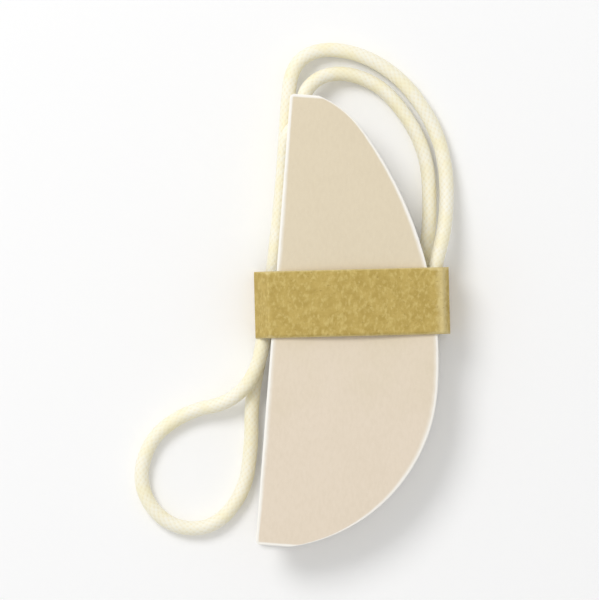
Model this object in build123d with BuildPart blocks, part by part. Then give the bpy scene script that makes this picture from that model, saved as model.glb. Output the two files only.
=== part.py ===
from build123d import *
from math import atan2, cos, degrees, radians, sin, tan
import os

# Origami egg ornament, folded flat to half an egg, with its hanging cord and its paper band.
# It lies on its back, with the tip towards +Y and the spine on the left, along Y.
# The origin is on the surface it lies on, under the middle of the egg and band.

# Half-egg outline of the covers, with the tip and the end cut square
egg_length = 55.0
egg_half_width = 20.3
egg_tip_radius = 11.7
tip_cut = 0.5
end_cut = 0.4
cover_card = 0.5

# Paper leaves, glued to each other in strips that are staggered from gap to gap
leaf_count = 21
leaf_paper = 0.19
glue_film = 0.065
leaf_inset = 1.0
glue_strip_width = 1.6
spine_glue_width = 1.2
even_glue_stations = (0.62, 0.88)
odd_glue_stations = (0.475, 0.75)

# Band of kraft paper, wrapped round the egg and glued to itself underneath
band_paper = 0.3
band_height = 8.0
band_left_room = 2.1
band_right_room = 0.4
band_from_tip = 24.4
band_skew = 5.8
band_corner = 0.9
band_crease = 0.3
band_crease_room = 0.2
band_left_drop = 3.1
band_right_slope = 0.7
band_right_drop = 1.2
band_overlap = 9.0

# Hanging cord, and the pocket in the leaves that its two ends are glued in
cord_diameter = 1.75
cord_sides = 8
arc_share = 0.45
pocket_depth = 5.2
pocket_reach = 3.0
pocket_clearance = 0.1

# Heights of the layers, from the surface up
back_cover_base = 2 * band_paper
leaf_base = back_cover_base + cover_card
leaf_pitch = leaf_paper + glue_film
front_cover_base = leaf_base + leaf_count * leaf_pitch - glue_film
front_cover_top = front_cover_base + cover_card

# Places across and along the egg
band_outer_width = band_left_room + egg_half_width + band_right_room + 2 * band_paper
spine_x = band_paper + band_left_room - band_outer_width / 2
tip_y = (egg_length - tip_cut - end_cut) / 2
end_y = -tip_y

# Route of the cord, as points across from the spine, along from the tip, and up.
# It leaves the pocket, goes round the inner arc, folds tightly under the band, comes back round
# the outer arc and over the tip, goes down beside the spine, round the open end of the loop,
# and up beside the spine again, on top of itself, to end in the pocket.
cord_route = [
    (1.6, -pocket_depth, 2.95),
    (1.6, -2.4, 2.95),
    (1.68, 0.6, 2.93),
    (4.4, 3.05, 1.9),
    (8.2, 3.05, 1.0),
    (12.3, 1.0, 0.95),
    (17.05, -5.4, 0.95),
    (18.0, -13.6, 1.3),
    (17.7, -18.6, 2.06),
    (18.8, -22.4, 2.04),
    (19.6, -26.4, 2.02),
    (19.6, -26.45, 5.48),
    (18.55, -21.0, 5.45),
    (20.1, -13.4, 2.6),
    (19.05, -4.7, 1.0),
    (14.65, 1.95, 0.95),
    (9.1, 5.5, 0.95),
    (3.4, 6.15, 1.0),
    (-0.15, 3.75, 1.87),
    (-0.25, -2.2, 2.14),
    (-0.1, -10.2, 2.02),
    (-0.35, -19.4, 2.04),
    (-0.5, -29.9, 2.03),
    (-1.75, -36.6, 1.1),
    (-1.2, -43.0, 0.95),
    (-1.9, -48.4, 0.95),
    (-5.4, -53.1, 0.95),
    (-11.1, -53.0, 0.95),
    (-14.8, -48.4, 0.95),
    (-13.8, -42.6, 0.95),
    (-9.4, -38.6, 1.1),
    (-4.2, -36.2, 2.2),
    (-0.45, -31.8, 3.9),
    (-0.4, -22.8, 3.88),
    (-0.1, -14.0, 3.9),
    (-0.15, -8.4, 4.4),
    (-0.1, -5.0, 4.8),
    (1.1, -3.5, 4.83),
    (pocket_reach, -3.5, 4.83),
]


def half_egg(inset):
    """Half an egg drawn with three arcs, set in all round, and cut square at the tip and the end."""
    end_centre = tip_y + tip_cut - egg_length + egg_half_width
    tip_centre = tip_y + tip_cut - egg_tip_radius
    rise = tip_centre - end_centre
    flank_radius = (rise**2 / (egg_half_width - egg_tip_radius) + egg_tip_radius + egg_half_width) / 2
    flank_reach = flank_radius - egg_half_width
    flank_angle = degrees(atan2(rise, flank_reach))
    with BuildSketch() as outline:
        with BuildLine():
            CenterArc((spine_x, end_centre), egg_half_width - inset, -90, 90)
            CenterArc((spine_x - flank_reach, end_centre), flank_radius - inset, 0, flank_angle)
            CenterArc((spine_x, tip_centre), egg_tip_radius - inset, flank_angle, 90 - flank_angle)
            Line((spine_x, tip_y + tip_cut - inset), (spine_x, tip_y + tip_cut - egg_length + inset))
        make_face()
        with Locations((spine_x + inset, tip_y - inset)):
            Rectangle(
                egg_half_width,
                tip_y - end_y - 2 * inset,
                align=(Align.MIN, Align.MAX),
                mode=Mode.INTERSECT,
            )
    return outline.sketch


def arc_radii(points):
    """Radius of the cord's arc at each inner point, as large as its two runs allow."""
    radii = []
    for before, corner, after in zip(points, points[1:], points[2:]):
        run_in = Vector(*corner) - Vector(*before)
        run_out = Vector(*after) - Vector(*corner)
        half_turn = radians(run_in.get_angle(run_out)) / 2
        radii.append(arc_share * min(run_in.length, run_out.length) / tan(half_turn))
    return radii


# Both covers are cut to one outline, and the leaves a little smaller, so that the covers overhang
cover_outline = half_egg(0)
leaf_outline = half_egg(leaf_inset)

with BuildPart() as back_cover:
    with BuildSketch(Plane.XY.offset(back_cover_base)):
        add(cover_outline)
    extrude(amount=cover_card)

with BuildPart() as front_cover:
    with BuildSketch(Plane.XY.offset(front_cover_base)):
        add(cover_outline)
    extrude(amount=cover_card)


def glue_strips(stations):
    """Strips of glue in one gap: one down the spine, and one out to the edge at each station."""
    leaf_spine_x = spine_x + leaf_inset
    with BuildSketch() as strips:
        with Locations((leaf_spine_x, tip_y - pocket_depth - spine_glue_width)):
            Rectangle(spine_glue_width, egg_length, align=(Align.MIN, Align.MAX))
        with Locations([(leaf_spine_x, tip_y + tip_cut - egg_length * station) for station in stations]):
            Rectangle(egg_half_width, glue_strip_width, align=(Align.MIN, Align.CENTER))
        add(leaf_outline, mode=Mode.INTERSECT)
    return strips.sketch


# The whole stack of leaves, from the back cover to the front cover
odd_strips = glue_strips(odd_glue_stations)
even_strips = glue_strips(even_glue_stations)
leaf_heights = [leaf_base + leaf * leaf_pitch for leaf in range(leaf_count)]
gap_heights = [height + leaf_paper for height in leaf_heights[:-1]]
with BuildPart() as paper_leaves:
    with BuildSketch(*[Plane.XY.offset(height) for height in leaf_heights]):
        add(leaf_outline)
    extrude(amount=leaf_paper)
    with BuildSketch(*[Plane.XY.offset(height) for height in gap_heights[0::2]]):
        add(odd_strips)
    extrude(amount=glue_film)
    with BuildSketch(*[Plane.XY.offset(height) for height in gap_heights[1::2]]):
        add(even_strips)
    extrude(amount=glue_film)
    pocket_base = cord_route[0][2] - cord_diameter / 2 - pocket_clearance
    pocket_top = cord_route[-1][2] + cord_diameter / 2 + pocket_clearance
    with Locations((spine_x, tip_y, pocket_base)):
        Box(
            pocket_reach,
            pocket_depth,
            pocket_top - pocket_base,
            align=(Align.MIN, Align.MAX, Align.MIN),
            mode=Mode.SUBTRACT,
        )

# The cord is one tube of straight runs and tangent arcs, with a many-sided section
route_points = [(spine_x + across, tip_y + along, height) for across, along, height in cord_route]
route_radii = arc_radii(route_points)
with BuildPart() as hanging_cord:
    with BuildLine() as cord_line:
        FilletPolyline(*route_points, radius=route_radii)
    with BuildSketch(Plane(origin=cord_line.line @ 0, z_dir=cord_line.line % 0)) as cord_section:
        RegularPolygon(cord_diameter / 2, cord_sides)
    sweep()

# The band is one strip: its inner end lies under the egg, and its outer end is glued below that.
# It is creased over the covers' edges, and slopes down past them to its two sides.
# The spine slants across the skewed band, and the left crease stands just past its farthest place.
skew = radians(band_skew)
side_run = (band_outer_width - band_paper) / 2
top_run = front_cover_top + band_paper / 2
spine_run = (band_height / 2 * sin(skew) - spine_x) / cos(skew)
band_plane = Plane(
    origin=(0, tip_y - band_from_tip, 0),
    x_dir=(cos(skew), sin(skew), 0),
    z_dir=(sin(skew), -cos(skew), 0),
)
with BuildPart() as paper_band:
    with BuildSketch(band_plane):
        with BuildLine():
            FilletPolyline(
                (-band_overlap / 2, 1.5 * band_paper),
                (side_run, 1.5 * band_paper),
                (side_run, top_run - band_right_drop),
                (side_run - band_right_slope, top_run),
                (-spine_run - band_crease_room, top_run),
                (-side_run, top_run - band_left_drop),
                (-side_run, band_paper / 2),
                (-band_overlap / 2, band_paper / 2),
                radius=[band_corner, band_corner, band_crease, band_crease, band_corner, band_corner],
            )
        trace(line_width=band_paper)
        with Locations((0, band_paper / 2)):
            Rectangle(band_overlap, band_paper)
    extrude(amount=band_height / 2, both=True)

os.makedirs("parts", exist_ok=True)
pieces = {
    "front_cover": front_cover,
    "back_cover": back_cover,
    "paper_leaves": paper_leaves,
    "hanging_cord": hanging_cord,
    "paper_band": paper_band,
}
for name, piece in pieces.items():
    piece.part.label = name
    export_step(piece.part, f"parts/{name}.step")

cord_length = sum(edge.length for edge in cord_line.edges())
section_volume = cord_section.sketch.area * cord_length
print("cord radii", [round(radius, 2) for radius in route_radii])
print("cord length", round(cord_length, 1))
print("cord volume", round(hanging_cord.part.volume, 2), "section x length", round(section_volume, 2))
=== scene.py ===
import math

import bpy
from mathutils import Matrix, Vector


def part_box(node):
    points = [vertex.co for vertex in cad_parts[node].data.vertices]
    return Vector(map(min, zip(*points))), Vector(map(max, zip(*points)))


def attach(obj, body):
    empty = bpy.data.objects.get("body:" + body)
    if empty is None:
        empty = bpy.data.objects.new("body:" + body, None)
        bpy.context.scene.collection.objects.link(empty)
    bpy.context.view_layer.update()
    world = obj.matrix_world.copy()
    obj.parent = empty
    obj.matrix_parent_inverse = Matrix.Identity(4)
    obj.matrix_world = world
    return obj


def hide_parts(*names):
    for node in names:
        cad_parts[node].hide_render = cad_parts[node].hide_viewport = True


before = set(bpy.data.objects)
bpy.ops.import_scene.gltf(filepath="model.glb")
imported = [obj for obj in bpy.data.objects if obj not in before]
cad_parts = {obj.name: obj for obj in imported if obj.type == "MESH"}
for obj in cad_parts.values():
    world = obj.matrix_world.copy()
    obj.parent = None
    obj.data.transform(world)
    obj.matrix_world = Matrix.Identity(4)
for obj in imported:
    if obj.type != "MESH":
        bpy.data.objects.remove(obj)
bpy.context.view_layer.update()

# The folded egg lies on its back on a white table and is looked at from straight above.
# In the view its spine leans a little to the right, so the camera is turned by the same angle.
view_width = 0.072
view_centre = (-0.0063, 0.0025, 0.005)
spine_lean = math.radians(4.4)
camera_data = bpy.data.cameras.new("overhead_camera")
camera_data.lens = 300
camera_data.clip_start = 0.01
camera = bpy.data.objects.new("overhead_camera", camera_data)
camera_height = view_width * camera_data.lens / camera_data.sensor_width
camera.location = (view_centre[0], view_centre[1], view_centre[2] + camera_height)
camera.rotation_euler = (0, 0, spine_lean)
bpy.context.collection.objects.link(camera)
bpy.context.scene.camera = camera
bpy.context.scene.view_settings.view_transform = "Standard"


# The hanging cord is waxed cotton with a round, finely braided cover, in one length of 22 cm.
# Both its ends are glued in between the leaves at the tip. It is laid round the tip and tucked
# under the band by hand. Its route's places are across from the spine, along from the tip, and up.
cord_diameter = 0.00175
cord_route = [
    (0.0021, -0.0052, 0.00295),
    (0.0019, -0.0024, 0.00295),
    (0.00145, 0.0006, 0.00293),
    (0.0041, 0.00305, 0.0019),
    (0.0081, 0.0031, 0.001),
    (0.0123, 0.001, 0.00095),
    (0.01705, -0.0054, 0.00095),
    (0.018, -0.0136, 0.0013),
    (0.0177, -0.0186, 0.00206),
    (0.0188, -0.0224, 0.00204),
    (0.0196, -0.0264, 0.00202),
    (0.0196, -0.02645, 0.00548),
    (0.01855, -0.021, 0.00545),
    (0.0201, -0.0134, 0.0026),
    (0.01905, -0.0047, 0.001),
    (0.01465, 0.00195, 0.00095),
    (0.0091, 0.0055, 0.00095),
    (0.0034, 0.00615, 0.001),
    (-0.00015, 0.00375, 0.00187),
    (-0.00025, -0.0022, 0.00214),
    (-0.0001, -0.0102, 0.00202),
    (-0.00035, -0.0194, 0.00204),
    (-0.001, -0.0301, 0.00203),
    (-0.0019, -0.0366, 0.0011),
    (-0.0014, -0.043, 0.00095),
    (-0.0019, -0.0484, 0.00095),
    (-0.0054, -0.0531, 0.00095),
    (-0.0111, -0.053, 0.00095),
    (-0.0148, -0.0484, 0.00095),
    (-0.0138, -0.0426, 0.00095),
    (-0.0094, -0.0389, 0.0011),
    (-0.0041, -0.0375, 0.0022),
    (-0.001, -0.0329, 0.0039),
    (-0.0004, -0.0228, 0.00388),
    (-0.0001, -0.014, 0.0039),
    (-0.00015, -0.0084, 0.0044),
    (-0.0001, -0.005, 0.0048),
    (0.0011, -0.0035, 0.00483),
    (0.003, -0.0035, 0.00483),
]
covers_low, covers_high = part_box("front_cover")
spine_x = covers_low[0]
tip_y = covers_high[1]
cord_curve = bpy.data.curves.new("cord_route", "CURVE")
cord_curve.dimensions = "3D"
cord_curve.resolution_u = 24
cord_spline = cord_curve.splines.new("NURBS")
cord_spline.points.add(len(cord_route) - 1)
for point, (across, along, height) in zip(cord_spline.points, cord_route):
    point.co = (spine_x + across, tip_y + along, height, 1.0)
cord_spline.order_u = 3
cord_spline.use_endpoint_u = True
cord_guide = bpy.data.objects.new("cord_route", cord_curve)
bpy.context.collection.objects.link(cord_guide)
evaluated_guide = cord_guide.evaluated_get(bpy.context.evaluated_depsgraph_get())
cord_line = [vertex.co.copy() for vertex in bpy.data.meshes.new_from_object(evaluated_guide).vertices]
bpy.data.objects.remove(cord_guide)


def evenly_along(line, step):
    """Places about a step apart along a line of points, with both its ends, and its length."""
    reach = [0.0]
    for before, after in zip(line, line[1:]):
        reach.append(reach[-1] + (after - before).length)
    count = round(reach[-1] / step)
    places = []
    run = 0
    for number in range(count + 1):
        target = reach[-1] * number / count
        while run < len(line) - 2 and reach[run + 1] < target:
            run += 1
        share = (target - reach[run]) / (reach[run + 1] - reach[run])
        places.append(line[run].lerp(line[run + 1], min(share, 1.0)))
    return places, reach[-1]


yarns_each_way = 8
plait_length = 0.0066
yarn_fullness = 0.5
crossing_share = 0.4


def braid_height(turn, distance):
    """Height of the braid's yarns round the cord and along it, from 0 in a groove to 1."""
    travel = 2 * math.pi * distance / plait_length
    right_hand = abs(math.cos(yarns_each_way * (turn + travel) / 2))
    left_hand = abs(math.cos(yarns_each_way * (turn - travel) / 2))
    over, under = max(right_hand, left_hand), min(right_hand, left_hand)
    return over**yarn_fullness * (1 - crossing_share + crossing_share * under)


cord_sides = 64
groove_depth = 0.00005
ring_step = 0.00018
cord_places, cord_length = evenly_along(cord_line, ring_step)
cord_points = []
cord_faces = []
yarn_heights = []
side_way = Vector((1, 0, 0))
for ring, place in enumerate(cord_places):
    before = cord_places[max(ring - 1, 0)]
    after = cord_places[min(ring + 1, len(cord_places) - 1)]
    forward = (after - before).normalized()
    side_way = (side_way - forward * side_way.dot(forward)).normalized()
    up_way = forward.cross(side_way)
    distance = cord_length * ring / (len(cord_places) - 1)
    for side in range(cord_sides):
        turn = 2 * math.pi * side / cord_sides
        yarn = braid_height(turn, distance)
        radius = cord_diameter / 2 - groove_depth * (1 - yarn)
        cord_points.append(place + (side_way * math.cos(turn) + up_way * math.sin(turn)) * radius)
        yarn_heights.append(yarn)
        if ring:
            corner = ring * cord_sides + side
            neighbour = ring * cord_sides + (side + 1) % cord_sides
            cord_faces.append((corner - cord_sides, neighbour - cord_sides, neighbour, corner))
cord_faces.append(tuple(reversed(range(cord_sides))))
cord_faces.append(tuple(range(len(cord_points) - cord_sides, len(cord_points))))


class Signal:
    """One value that runs through a node tree. Arithmetic on it adds the tree's Math nodes."""

    def __init__(self, graph, socket):
        self.graph = graph
        self.socket = socket

    def math(self, operation, *others):
        """The operation on this value and any others, such as COSINE or MINIMUM."""
        values = dict(enumerate((self,) + others))
        return self.graph.node("ShaderNodeMath", {"operation": operation}, values)

    def __add__(self, other):
        return self.math("ADD", other)

    def __sub__(self, other):
        return self.math("SUBTRACT", other)

    def __rsub__(self, other):
        return self.graph.node("ShaderNodeMath", {"operation": "SUBTRACT"}, {0: other, 1: self})

    def __mul__(self, other):
        return self.math("MULTIPLY", other)

    def __truediv__(self, other):
        return self.math("DIVIDE", other)

    __radd__ = __add__
    __rmul__ = __mul__


class Graph:
    """A node tree, to which nodes are added by their type, settings and inputs."""

    def __init__(self, tree):
        self.tree = tree

    def node(self, kind, settings=None, inputs=None, output=0):
        """Adds a node, with its settings first and then its inputs, and returns one of its outputs."""
        made = self.tree.nodes.new(kind)
        for name, value in (settings or {}).items():
            setattr(made, name, value)
        for name, value in (inputs or {}).items():
            self.feed(made.inputs[name], value)
        if made.outputs:
            return Signal(self, made.outputs[output])

    def feed(self, socket, value):
        """Links a signal to a socket, or sets the socket to a plain value."""
        if isinstance(value, Signal):
            self.tree.links.new(value.socket, socket)
        else:
            socket.default_value = value


class Finish(Graph):
    """A material, and the patterns that its surface is made up of."""

    def __init__(self, name):
        self.material = bpy.data.materials.new(name)
        self.material.use_nodes = True
        super().__init__(self.material.node_tree)
        self.place = self.node("ShaderNodeTexCoord", output="Object")

    def surface(self, values):
        """Feeds the shader's inputs."""
        for name, value in values.items():
            self.feed(self.tree.nodes["Principled BSDF"].inputs[name], value)

    def noise(self, scale, detail=2.0, stretch=(1, 1, 1), turn=0.0):
        """Noise on the object's own places, which are turned and stretched first."""
        inputs = {"Vector": self.place, "Rotation": (0, 0, turn), "Scale": stretch}
        place = self.node("ShaderNodeMapping", {}, inputs)
        return self.node("ShaderNodeTexNoise", {}, {"Vector": place, "Scale": scale, "Detail": detail})

    def drawn(self, attribute):
        """The value that the mesh holds at each point."""
        return self.node("ShaderNodeAttribute", {"attribute_name": attribute}, output="Fac")

    def between(self, value, low, high):
        """Smooth step of a value, from 0 at low to 1 at high."""
        inputs = {"Value": value, "From Min": low, "From Max": high}
        return self.node("ShaderNodeMapRange", {"interpolation_type": "SMOOTHSTEP"}, inputs)

    def blend(self, amount, first, second):
        """Mix of two colours, which are the node's inputs 6 and 7."""
        inputs = {0: amount, 6: first, 7: second}
        return self.node("ShaderNodeMix", {"data_type": "RGBA"}, inputs, output=2)

    def bump(self, height, distance):
        """Surface normal of a relief this far from low to high."""
        return self.node("ShaderNodeBump", {}, {"Height": height, "Distance": distance})


def paint(red, green, blue):
    """Colour for a shader's socket, from screen values of 0 to 255."""
    return tuple(((value / 255 + 0.055) / 1.055) ** 2.4 for value in (red, green, blue)) + (1.0,)


cotton = Finish("waxed_cotton")
yarn = cotton.drawn("yarn")
cotton_fibre = cotton.noise(9000, 3)
cotton_wear = cotton.between(cotton.noise(420, 3), 0.35, 0.7)
# Painted shade: the braid's grooves between the yarns are coloured darker and yellower than the yarns'
# crowns.
braid_shading = cotton.between(yarn, 0.1, 0.9)
yarn_colour = cotton.blend(cotton_wear, paint(255, 252, 236), paint(255, 248, 214))
cotton.surface({
    "Base Color": cotton.blend(braid_shading * 0.6 + cotton_fibre * 0.7, paint(244, 230, 186), yarn_colour),
    "Roughness": 0.45 + cotton_fibre * 0.2,
    "Normal": cotton.bump(cotton_fibre, 0.00003),
    "Sheen Weight": 0.3,
})


def mesh_piece(name, points, faces, finish, drawn=None):
    """New smooth mesh in the scene, with one finish, and an attribute's name and its values."""
    mesh = bpy.data.meshes.new(name)
    mesh.from_pydata(points, [], faces)
    mesh.shade_smooth()
    mesh.materials.append(finish.material)
    if drawn:
        mesh.attributes.new(drawn[0], "FLOAT", "POINT").data.foreach_set("value", drawn[1])
    piece = bpy.data.objects.new(name, mesh)
    bpy.context.collection.objects.link(piece)
    return piece


def put_on(piece, node):
    """The piece takes a solid's place, and rides with the folded egg."""
    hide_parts(node)
    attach(piece, "root")


cord_braid = mesh_piece("cord_braid", cord_points, cord_faces, cotton, ("yarn", yarn_heights))
put_on(cord_braid, "hanging_cord")


# The covers are two half eggs of pearly beige card, cut with one die from a sheet half a
# millimetre thick. The cut rounds the edge a little and bares the card's pale core as a rim,
# which is also a painted highlight, brighter than the core, where the edge would catch the lamp.
egg_length = 0.055
egg_half_width = 0.0203
egg_tip_radius = 0.0117
tip_cut = 0.0005
end_cut = 0.0004
cut_rounding = 0.00012
cut_profile = (0, 0.05, 0.3, 1)
corner_rounding = 0.0005
rim_width = 0.00045
tip_centre = tip_y + tip_cut - egg_tip_radius
end_centre = tip_y + tip_cut - egg_length + egg_half_width
flank_rise = tip_centre - end_centre
flank_radius = (flank_rise**2 / (egg_half_width - egg_tip_radius) + egg_tip_radius + egg_half_width) / 2
flank_reach = flank_radius - egg_half_width
flank_top = end_centre + flank_radius * math.sin(math.atan2(flank_rise, flank_reach))


def egg_reach(y, inset):
    """Distance from the spine to the curved edge, which is a tip arc, a flank arc and an end arc."""
    if y > flank_top:
        centre, radius, back = tip_centre, egg_tip_radius, 0.0
    elif y > end_centre:
        centre, radius, back = end_centre, flank_radius, flank_reach
    else:
        centre, radius, back = end_centre, egg_half_width, 0.0
    return math.sqrt(max((radius - inset) ** 2 - (y - centre) ** 2, 0.0)) - back


def from_edge_to_edge(start, end, steps):
    """Places from a start to an end, closely spaced at both, where the rounded edges are."""
    close = [cut_rounding * share for share in cut_profile]
    inner_start, inner_end = start + close[-1], end - close[-1]
    waves = [0.5 - 0.5 * math.cos(math.pi * step / steps) for step in range(1, steps)]
    inner = [inner_start + (inner_end - inner_start) * wave for wave in waves]
    return [start + gap for gap in close] + inner + [end - gap for gap in reversed(close)]


def egg_sheet(name, base, top, inset, finish, rows, columns, notch_reach=0.0, notch_depth=0.0):
    """Closed half-egg sheet with rounded edges, between two heights.

    A notch beside the spine, open at the tip, is cut out where it has a depth."""
    end_y = tip_y + tip_cut + end_cut - egg_length
    narrowest = 3 * cut_rounding
    rows_y = from_edge_to_edge(end_y + inset, tip_y - inset, rows)
    points = []
    rims = []
    for height, down in ((top, 1), (base, -1)):
        for y in rows_y:
            to_end = min(y - rows_y[0], rows_y[-1] - y)
            past_corner = max(corner_rounding - to_end, 0)
            left = inset + corner_rounding - math.sqrt(corner_rounding**2 - past_corner**2)
            if y > tip_y - notch_depth:
                left = notch_reach
            right = max(egg_reach(y, inset), left + narrowest)
            for across in from_edge_to_edge(left, right, columns):
                to_edge = min(across - left, right - across, to_end)
                inwards = max(cut_rounding - to_edge, 0)
                drop = cut_rounding - math.sqrt(cut_rounding**2 - inwards**2)
                points.append((spine_x + across, y, height - down * drop))
                rims.append(max(0.0, 1 - to_edge / rim_width))
    wide = len(from_edge_to_edge(0, 1, columns))
    long = len(rows_y)
    layer = wide * long
    faces = []
    for row in range(long - 1):
        for column in range(wide - 1):
            corner = row * wide + column
            face = (corner, corner + 1, corner + wide + 1, corner + wide)
            faces.append(face)
            faces.append(tuple(layer + point for point in reversed(face)))
    outline = list(range(wide))
    outline += [row * wide + wide - 1 for row in range(1, long)]
    outline += [(long - 1) * wide + column for column in range(wide - 2, -1, -1)]
    outline += [row * wide for row in range(long - 2, 0, -1)]
    for corner, neighbour in zip(outline, outline[1:] + outline[:1]):
        faces.append((neighbour, corner, corner + layer, neighbour + layer))
    return mesh_piece(name, points, faces, finish, ("rim", rims))


shade_drift = (0.02, -0.004)
drift_scatter = 0.02
fibre_shade = paint(206, 190, 162)


def paper_finish(name, tip_shade, end_shade, core_and_highlight, least_roughness):
    """Smooth paper: lighter towards the end, fibres, flecks, a cut rim of pale core and painted highlight.
    """
    paper = Finish(name)
    cloud = paper.noise(160, 4)
    fibre = paper.noise(2600, 5, stretch=(1.0, 0.45, 1.0), turn=0.4)
    speck = paper.between(paper.noise(6000, 2), 0.6, 0.8)
    along = paper.node("ShaderNodeSeparateXYZ", {}, {"Vector": paper.place}, output="Y")
    drift = paper.between(along + cloud * drift_scatter, *shade_drift)
    body = paper.blend(drift, tip_shade, end_shade)
    dim = paper.blend(paper.between(fibre + cloud * 0.5, 0.55, 1.05) * 0.16, body, fibre_shade)
    flecked = paper.blend(speck * 0.15, dim, core_and_highlight)
    # Painted highlight: the cut rim gets the pale core's colour, partly the bare core and partly light
    # caught by the rounded edge, unevenly along it.
    rim_wear_and_gleam = 0.25 + paper.noise(900, 3) * 0.6 + paper.noise(110, 2)
    rim_core_and_highlight = paper.drawn("rim") * rim_wear_and_gleam
    paper.surface({
        "Base Color": paper.blend(paper.between(rim_core_and_highlight, 0.05, 0.6), flecked, core_and_highlight),
        "Roughness": least_roughness + fibre * 0.16,
        "Normal": paper.bump(fibre + cloud * 0.3, 0.00002),
    })
    return paper


card_at_tip = paint(230, 216, 188)
card_at_end = paint(236, 221, 200)
# The card's pale core colour, also used as the painted highlight along the cut rim.
card_core_and_highlight = paint(255, 252, 244)
card = paper_finish("pearl_card", card_at_tip, card_at_end, card_core_and_highlight, least_roughness=0.45)
for node in ("front_cover", "back_cover"):
    low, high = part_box(node)
    cover = egg_sheet(node + "_card", low[2], high[2], 0.0, card, rows=140, columns=16)
    put_on(cover, node)


# The leaves are 21 half eggs of thin cream paper, a little smaller than the covers. Each is
# glued to the next in narrow strips, in places that alternate from gap to gap, so that the edges
# between spring apart and together. The leaves in the middle are notched for the cord's ends.
leaf_count = 21
leaf_thickness = 0.00019
leaf_inset = 0.001
leaf_spring = 0.00003
leaf_misfit = 0.00006
first_glue_station = 0.475
glue_spacing = 0.1375
flat_beside_covers = 6
notch_reach = 0.003
notch_depth = 0.005
leaves_low, leaves_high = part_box("paper_leaves")
leaf_pitch = (leaves_high[2] - leaves_low[2] - leaf_thickness) / (leaf_count - 1)
cord_bottom = cord_route[0][2] - cord_diameter / 2
cord_top = cord_route[-1][2] + cord_diameter / 2
leaf_at_tip = paint(238, 228, 205)
leaf_at_end = paint(240, 229, 208)
# The leaves' pale core colour, also used as the painted highlight along their cut edges.
leaf_core_and_highlight = paint(252, 247, 232)
leaf_paper = paper_finish("leaf_paper", leaf_at_tip, leaf_at_end, leaf_core_and_highlight, least_roughness=0.6)
leaf_rows = 90
leaf_columns = 8
leaf_shape = (0.0, leaf_thickness, leaf_inset, leaf_paper, leaf_rows, leaf_columns)
plain_leaf = egg_sheet("plain_leaf", *leaf_shape)
notched_leaf = egg_sheet("notched_leaf", *leaf_shape, notch_reach, notch_depth)

stack = Graph(bpy.data.node_groups.new("leaf_stack", "GeometryNodeTree"))
stack_sizes = {
    "Leaf": ("NodeSocketGeometry", None),
    "Notched leaf": ("NodeSocketObject", notched_leaf),
    "Leaves": ("NodeSocketInt", leaf_count),
    "Pitch": ("NodeSocketFloat", leaf_pitch),
    "First notched": ("NodeSocketInt", int((cord_bottom - leaves_low[2]) / leaf_pitch)),
    "Last notched": ("NodeSocketInt", int((cord_top - leaves_low[2]) / leaf_pitch) + 1),
    "Spring": ("NodeSocketFloat", leaf_spring),
    "Misfit": ("NodeSocketFloat", leaf_misfit),
    "Tip": ("NodeSocketFloat", tip_y + tip_cut),
    "Egg length": ("NodeSocketFloat", egg_length),
    "Glue at": ("NodeSocketFloat", first_glue_station),
    "Glue apart": ("NodeSocketFloat", glue_spacing),
    "Base": ("NodeSocketFloat", leaves_low[2]),
    "Paper": ("NodeSocketMaterial", leaf_paper.material),
}


def given_sizes(graph, sizes):
    """Adds a tree's named inputs and its output, and returns its inputs as signals."""
    graph.tree.interface.new_socket("Geometry", in_out="OUTPUT", socket_type="NodeSocketGeometry")
    for name, (kind, value) in sizes.items():
        graph.tree.interface.new_socket(name, in_out="INPUT", socket_type=kind)
    entry = graph.tree.nodes.new("NodeGroupInput")
    return {name: Signal(graph, entry.outputs[name]) for name in sizes}


def spread(graph, x=0.0, y=0.0, z=0.0):
    """A vector of these three values."""
    return graph.node("ShaderNodeCombineXYZ", {}, {"X": x, "Y": y, "Z": z})


def compared(graph, operation, first, second):
    """Whether one whole number is to another as the operation says. They are inputs 2 and 3."""
    settings = {"data_type": "INT", "operation": operation}
    return graph.node("FunctionNodeCompare", settings, {2: first, 3: second})


given = given_sizes(stack, stack_sizes)
inputs = {
    "Count": given["Leaves"],
    "Start Location": spread(stack, z=given["Base"]),
    "Offset": spread(stack, z=given["Pitch"]),
}
line = stack.node("GeometryNodeMeshLine", {}, inputs)
number = stack.node("GeometryNodeInputIndex")
numbered = stack.node(
    "GeometryNodeStoreNamedAttribute",
    {"data_type": "FLOAT", "domain": "POINT"},
    {"Geometry": line, "Name": "leaf", "Value": number},
)
not_before = compared(stack, "GREATER_EQUAL", number, given["First notched"])
not_after = compared(stack, "LESS_EQUAL", number, given["Last notched"])
beside_cord = stack.node("FunctionNodeBooleanMath", {"operation": "AND"}, {0: not_before, 1: not_after})
clear_of_cord = stack.node("FunctionNodeBooleanMath", {"operation": "NOT"}, {0: beside_cord})
inputs = {"Object": given["Notched leaf"]}
notched_shape = stack.node("GeometryNodeObjectInfo", {}, inputs, output="Geometry")
join = stack.tree.nodes.new("GeometryNodeJoinGeometry")
for shape, chosen in ((given["Leaf"], clear_of_cord), (notched_shape, beside_cord)):
    inputs = {"Points": numbered, "Instance": shape, "Selection": chosen}
    stack.feed(join.inputs[0], stack.node("GeometryNodeInstanceOnPoints", {}, inputs))
least_slip = spread(stack, 0 - given["Misfit"], 0 - given["Misfit"])
most_slip = spread(stack, given["Misfit"], given["Misfit"])
inputs = {"Min": least_slip, "Max": most_slip, "Seed": 7}
slip = stack.node("FunctionNodeRandomValue", {"data_type": "FLOAT_VECTOR"}, inputs)
inputs = {"Instances": Signal(stack, join.outputs[0]), "Translation": slip}
slipped = stack.node("GeometryNodeTranslateInstances", {}, inputs)
loose = stack.node("GeometryNodeRealizeInstances", {}, {"Geometry": slipped})
place = stack.node("GeometryNodeInputPosition")
place_y = stack.node("ShaderNodeSeparateXYZ", {}, {"Vector": place}, output="Y")
settings = {"data_type": "FLOAT"}
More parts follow.
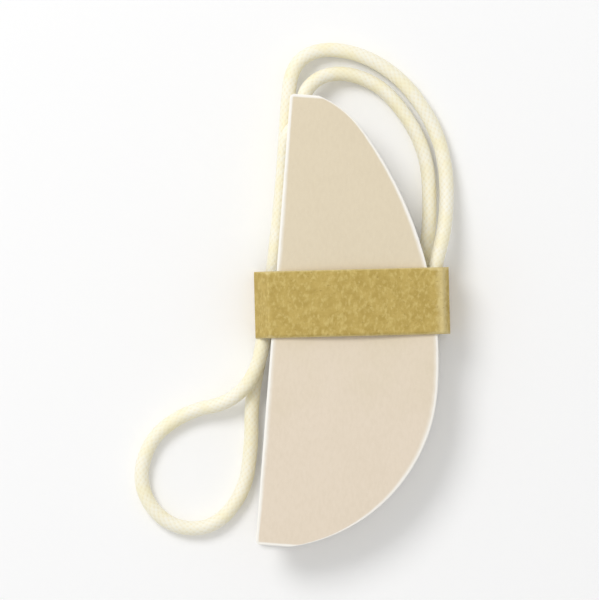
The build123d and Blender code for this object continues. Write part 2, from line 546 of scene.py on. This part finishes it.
leaf_number = stack.node("GeometryNodeInputNamedAttribute", settings, {"Name": "leaf"}, output="Attribute")
from_tip = (given["Tip"] - place_y) / given["Egg length"]
wave = ((from_tip - given["Glue at"]) / given["Glue apart"] * math.pi).math("COSINE")
parity = (leaf_number * math.pi).math("COSINE")
inside = (leaf_number / (given["Leaves"] - 1) * math.pi).math("SINE")
free = (inside * flat_beside_covers).math("MINIMUM", 1.0)
lift = spread(stack, z=wave * parity * free * given["Spring"])
sprung = stack.node("GeometryNodeSetPosition", {}, {"Geometry": loose, "Offset": lift})
papered = stack.node("GeometryNodeSetMaterial", {}, {"Geometry": sprung, "Material": given["Paper"]})
stack.node("NodeGroupOutput", {}, {"Geometry": papered})


def made_by(graph, sizes, source, name):
    """Plain mesh object that a tree makes of a source object, which is then removed."""
    modifier = source.modifiers.new(name, "NODES")
    modifier.node_group = graph.tree
    for item in graph.tree.interface.items_tree:
        if item.in_out == "INPUT" and sizes[item.name][1] is not None:
            modifier[item.identifier] = sizes[item.name][1]
    evaluated = source.evaluated_get(bpy.context.evaluated_depsgraph_get())
    made = bpy.data.objects.new(name, bpy.data.meshes.new_from_object(evaluated))
    bpy.context.collection.objects.link(made)
    bpy.data.objects.remove(source)
    return made


leaf_block = made_by(stack, stack_sizes, plain_leaf, "leaf_block")
bpy.data.objects.remove(notched_leaf)
put_on(leaf_block, "paper_leaves")


# The band is one strip of kraft paper, wrapped round the folded egg and glued to itself
# underneath. It is creased over the covers' edges, and slopes down past them to its two sides.
# Its creases are paler, partly rubbed kraft and partly a painted highlight.
band_paper = 0.00028
band_layer = 0.0003
band_height = 0.008
band_skew = math.radians(5.8)
band_from_tip = 0.0244
band_side = 0.01155
band_top = covers_high[2] + band_layer / 2
spine_run = (band_height / 2 * math.sin(band_skew) - spine_x) / math.cos(band_skew)
glued_end = 0.0045
band_corner = 0.0009
band_crease = 0.0003
band_crease_room = 0.0002
band_left_drop = 0.0031
band_right_slope = 0.0007
band_right_drop = 0.0012
band_bow = 0.0004
left_crease = Vector((-spine_run - band_crease_room, band_top))
right_crease = Vector((band_side - band_right_slope, band_top))
band_corners = [
    ((-glued_end, 1.5 * band_layer), 0.0),
    ((band_side, 1.5 * band_layer), band_corner),
    ((band_side, band_top - band_right_drop), band_corner),
    (right_crease, band_crease),
    (left_crease, band_crease),
    ((-band_side, band_top - band_left_drop), band_corner),
    ((-band_side, band_layer / 2), band_corner),
    ((glued_end, band_layer / 2), 0.0),
]


def folded_line(corners, steps=7):
    """Points along a line through these corners, each rounded to its radius."""
    line = [Vector(corners[0][0])]
    for before, here, after in zip(corners, corners[1:], corners[2:]):
        corner, radius = Vector(here[0]), here[1]
        way_in = (corner - Vector(before[0])).normalized()
        way_out = (Vector(after[0]) - corner).normalized()
        half_turn = way_in.angle(way_out) / 2
        tangent = radius * math.tan(half_turn)
        for step in range(steps + 1):
            share = step / steps
            first = corner - way_in * tangent * (1 - share)
            last = corner + way_out * tangent * share
            line.append(first.lerp(last, share))
    line.append(Vector(corners[-1][0]))
    return line


def split_runs(line, longest):
    """The same line with more points on its long runs."""
    finer = [line[0]]
    for before, after in zip(line, line[1:]):
        pieces = max(1, math.ceil((after - before).length / longest))
        finer += [before.lerp(after, piece / pieces) for piece in range(1, pieces + 1)]
    return finer


band_rows = 16
longest_step = 0.0005
band_line = split_runs(folded_line(band_corners), longest_step)
round_the_band = Vector((math.cos(band_skew), math.sin(band_skew), 0))
up_the_band = Vector((-math.sin(band_skew), math.cos(band_skew), 0))
band_middle = Vector((0, tip_y - band_from_tip, 0))
# Painted highlight and wear: the kraft is paler along the creases, most along the right one, which is
# painted lighter though it slopes away from the lamp.
left_gleam_and_wear, left_gleam_and_wear_reach = 0.7, 0.0013
right_gleam_and_wear, right_gleam_and_wear_reach = 0.95, 0.0026
height_tolerance = 0.00002
band_points = []
band_rims = []
for station, place in enumerate(band_line):
    to_left, to_right = (place - left_crease).length, (place - right_crease).length
    creased = max(left_gleam_and_wear - to_left / left_gleam_and_wear_reach, right_gleam_and_wear - to_right / right_gleam_and_wear_reach)
    if place.y > band_top - height_tolerance:
        place.y += band_bow * math.cos(math.pi * place.x / (2 * band_side)) ** 2
    before = band_line[max(station - 1, 0)]
    after = band_line[min(station + 1, len(band_line) - 1)]
    forward = (after - before).normalized()
    outwards = Vector((forward.y, -forward.x))
    for offset in (-1, 1):
        for row in range(band_rows + 1):
            share = 2 * row / band_rows - 1
            flat = place + outwards * offset * band_paper / 2
            across = round_the_band * flat.x + up_the_band * share * band_height / 2
            band_points.append(band_middle + across + Vector((0, 0, flat.y)))
            to_edge = (1 - abs(share)) * band_height / 2
            band_rims.append(max(creased, 0.0, 1 - to_edge / rim_width))
wide = band_rows + 1
ring = 2 * wide
band_faces = []
for station in range(len(band_line) - 1):
    first = station * ring
    for row in range(band_rows):
        inner = first + row
        band_faces.append((inner, inner + ring, inner + ring + 1, inner + 1))
        outer = inner + wide
        band_faces.append((outer, outer + 1, outer + ring + 1, outer + ring))
    last = first + band_rows
    for low, high, flip in ((first, first + wide, False), (last, last + wide, True)):
        side = (low, high, high + ring, low + ring)
        band_faces.append(tuple(reversed(side)) if flip else side)
for first, flip in ((0, False), ((len(band_line) - 1) * ring, True)):
    for row in range(band_rows):
        end = (first + row, first + row + 1, first + row + wide + 1, first + row + wide)
        band_faces.append(tuple(reversed(end)) if flip else end)

kraft = Finish("kraft_paper")
kraft_cloud = kraft.between(kraft.noise(900, 4), 0.35, 0.65)
long_fibre = kraft.noise(3400, 4, stretch=(0.5, 1.0, 1.0), turn=0.5)
cross_fibre = kraft.noise(2600, 4, stretch=(1.0, 0.6, 1.0), turn=0.2)
dark_fleck = kraft.between(kraft.noise(4200, 2, stretch=(0.6, 1.0, 1.0), turn=-0.6), 0.62, 0.78)
kraft_shades = (paint(200, 174, 96), paint(178, 151, 72))
kraft_body = kraft.blend(kraft_cloud * 0.6 + long_fibre * 0.4, *kraft_shades)
kraft_pale = kraft.blend(kraft.between(cross_fibre, 0.45, 0.72) * 0.65, kraft_body, paint(218, 196, 122))
# The band's cut edges and creases are painted a paler kraft; at the creases that is partly a painted
# highlight.
band_edge = kraft.between(kraft.drawn("rim") + kraft.noise(1500, 2) * 0.4, 0.75, 1.15)
kraft_face = kraft.blend(band_edge * 0.6, kraft_pale, paint(234, 216, 158))
kraft.surface({
    "Base Color": kraft.blend(dark_fleck * 0.6, kraft_face, paint(152, 124, 60)),
    "Roughness": 0.62 + long_fibre * 0.2,
    "Normal": kraft.bump(long_fibre + cross_fibre, 0.00003),
})
kraft_band = mesh_piece("kraft_band", band_points, band_faces, kraft, ("rim", band_rims))
put_on(kraft_band, "paper_band")


# The table is a plain white sheet, lit by a white sky and one large soft lamp at the upper left.
# To the eye, and in a reflection, the sky is pure white and the table almost so. Neither that
# white nor the table's small glow lights the egg, and the table keeps the egg's shadow.
table_size = 0.6
table_glow = 0.06
sky_level = 0.62
table_corners = ((-1, -1), (1, -1), (1, 1), (-1, 1))
table_points = [(x * table_size, y * table_size, 0.0) for x, y in table_corners]
lamp_place = Vector((-0.3, 0.3, 0.5))
lamp_width = 0.3
lamp_power = 1.8


def when_seen(graph):
    """1 for what the eye sees straight, in a reflection or through glass, and 0 for light."""
    rays = ("Is Camera Ray", "Is Glossy Ray", "Is Transmission Ray")
    straight, mirrored, through = [graph.node("ShaderNodeLightPath", output=ray) for ray in rays]
    return straight.math("MAXIMUM", mirrored).math("MAXIMUM", through)


white_table = Finish("white_table")
no_glow = (0, 0, 0, 1)
glow = (table_glow, table_glow, table_glow, 1)
white_table.surface({
    "Base Color": paint(250, 250, 250),
    "Roughness": 0.9,
    "Emission Color": white_table.blend(when_seen(white_table), no_glow, glow),
    "Emission Strength": 1.0,
})
table = mesh_piece("table", table_points, [(0, 1, 2, 3)], white_table)
sky_world = bpy.data.worlds.new("white_sky")
sky_world.use_nodes = True
sky = Graph(sky_world.node_tree)
sky_shader = sky.tree.nodes["Background"]
sky.feed(sky_shader.inputs["Color"], (1, 1, 1, 1))
sky.feed(sky_shader.inputs["Strength"], when_seen(sky) * (1 - sky_level) + sky_level)
bpy.context.scene.world = sky_world
lamp_data = bpy.data.lights.new("soft_lamp", "AREA")
lamp_data.shape = "DISK"
lamp_data.size = lamp_width
lamp_data.energy = lamp_power
lamp = bpy.data.objects.new("soft_lamp", lamp_data)
lamp.location = lamp_place
lamp.rotation_euler = (-lamp_place).to_track_quat("-Z", "Y").to_euler()
bpy.context.collection.objects.link(lamp)
